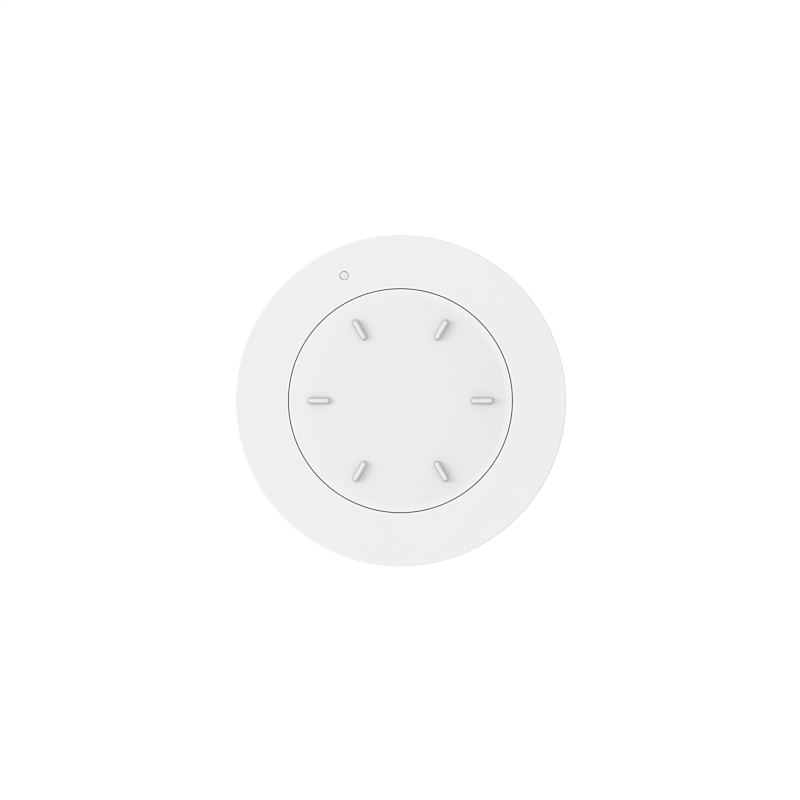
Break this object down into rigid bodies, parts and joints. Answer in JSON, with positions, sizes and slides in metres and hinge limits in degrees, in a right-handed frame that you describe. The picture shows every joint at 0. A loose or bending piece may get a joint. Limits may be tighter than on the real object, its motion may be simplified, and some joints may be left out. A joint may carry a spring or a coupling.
{
  "type": "rotary dimmer switch",
  "caption": "Round battery wall dimmer: a magnetic wall plate, a lift-off housing, and a flush round knob with finger ridges that turns and presses.",
  "frame": {"origin": "middle of the back, on the face of the foam pads that lies on the wall", "axes": "+Z out of the wall towards the user, +Y up on the wall, +X to the user's right"},
  "size_m": [0.08, 0.08, 0.0169],
  "materials": {
    "plate_plastic": "fine moulded texture, white ABS",
    "pad_foam": "white closed-cell foam tape",
    "plated_steel": "zinc-plated stamped steel",
    "housing_plastic": "fine moulded texture, white ABS",
    "cover_plastic": "satin moulded white ABS",
    "knob_plastic": "satin moulded white ABS",
    "door_plastic": "fine moulded texture, white ABS",
    "frame_plastic": "natural moulded plastic",
    "screw_steel": "zinc-plated steel",
    "board_laminate": "green solder mask on glass laminate",
    "module_laminate": "dark blue solder mask",
    "tinned_steel": "tinned sheet steel",
    "trace_copper": "gold-plated copper",
    "chip_resin": "black moulded resin",
    "led_resin": "pale phosphor resin",
    "lens_plastic": "translucent polycarbonate",
    "magnet_nickel": "nickel-plated magnet",
    "cell_steel": "stainless steel",
    "spring_steel": "nickel-plated spring steel",
    "encoder_resin": "black moulded resin",
    "bushing_metal": "die-cast zinc",
    "rotor_plastic": "natural acetal",
    "wiper_metal": "stamped bronze",
    "shaft_metal": "turned aluminium",
    "seal_rubber": "black silicone rubber"
  },
  "bodies": {
    "wall_mount": {"wall_plate": "plate_plastic", "adhesive_pads": "pad_foam", "keeper_discs": "plated_steel"},
    "housing": {"rear_housing": "housing_plastic", "front_cover": "cover_plastic", "inner_frame": "frame_plastic", "frame_screws": "screw_steel", "circuit_board": "board_laminate", "radio_module_board": "module_laminate", "radio_shield": "tinned_steel", "antenna_trace": "trace_copper", "chip_components": "chip_resin", "status_led": "led_resin", "light_guide": "lens_plastic", "magnets": "magnet_nickel", "coin_cell": "cell_steel", "battery_contact_positive": "spring_steel", "battery_contact_negative": "spring_steel", "encoder_base": "encoder_resin", "encoder_cover": "tinned_steel", "encoder_bushing": "bushing_metal", "encoder_terminals": "trace_copper", "encoder_detent_spring": "spring_steel", "switch_dome": "spring_steel"},
    "rotor": {"encoder_rotor": "rotor_plastic", "encoder_wiper": "wiper_metal"},
    "knob": {"knob_cap": "knob_plastic", "knob_carrier": "frame_plastic", "encoder_shaft": "shaft_metal"},
    "battery_door": {"battery_door": "door_plastic", "door_seal": "seal_rubber"}
  },
  "joints": [
    {"name": "body_lift", "type": "slide", "parent": "wall_mount", "child": "housing", "axis": [0, 0, 1], "range_m": [0, 0.03]},
    {"name": "knob_turn", "type": "hinge", "parent": "housing", "child": "rotor", "pos_m": [0, 0, 0.0083], "axis": [0, 0, 1], "continuous": true, "deforming": ["encoder_detent_spring"]},
    {"name": "knob_press", "type": "slide", "parent": "rotor", "child": "knob", "axis": [0, 0, -1], "range_m": [0, 0.0005], "stiffness_N_per_m": 1000, "springref_m": -0.0015, "deforming": ["switch_dome"]},
    {"name": "battery_door_twist", "type": "hinge", "parent": "housing", "child": "battery_door", "pos_m": [0, -0.0195, 0.0031], "axis": [0, 0, -1], "range_deg": [0, 32]}
  ]
}
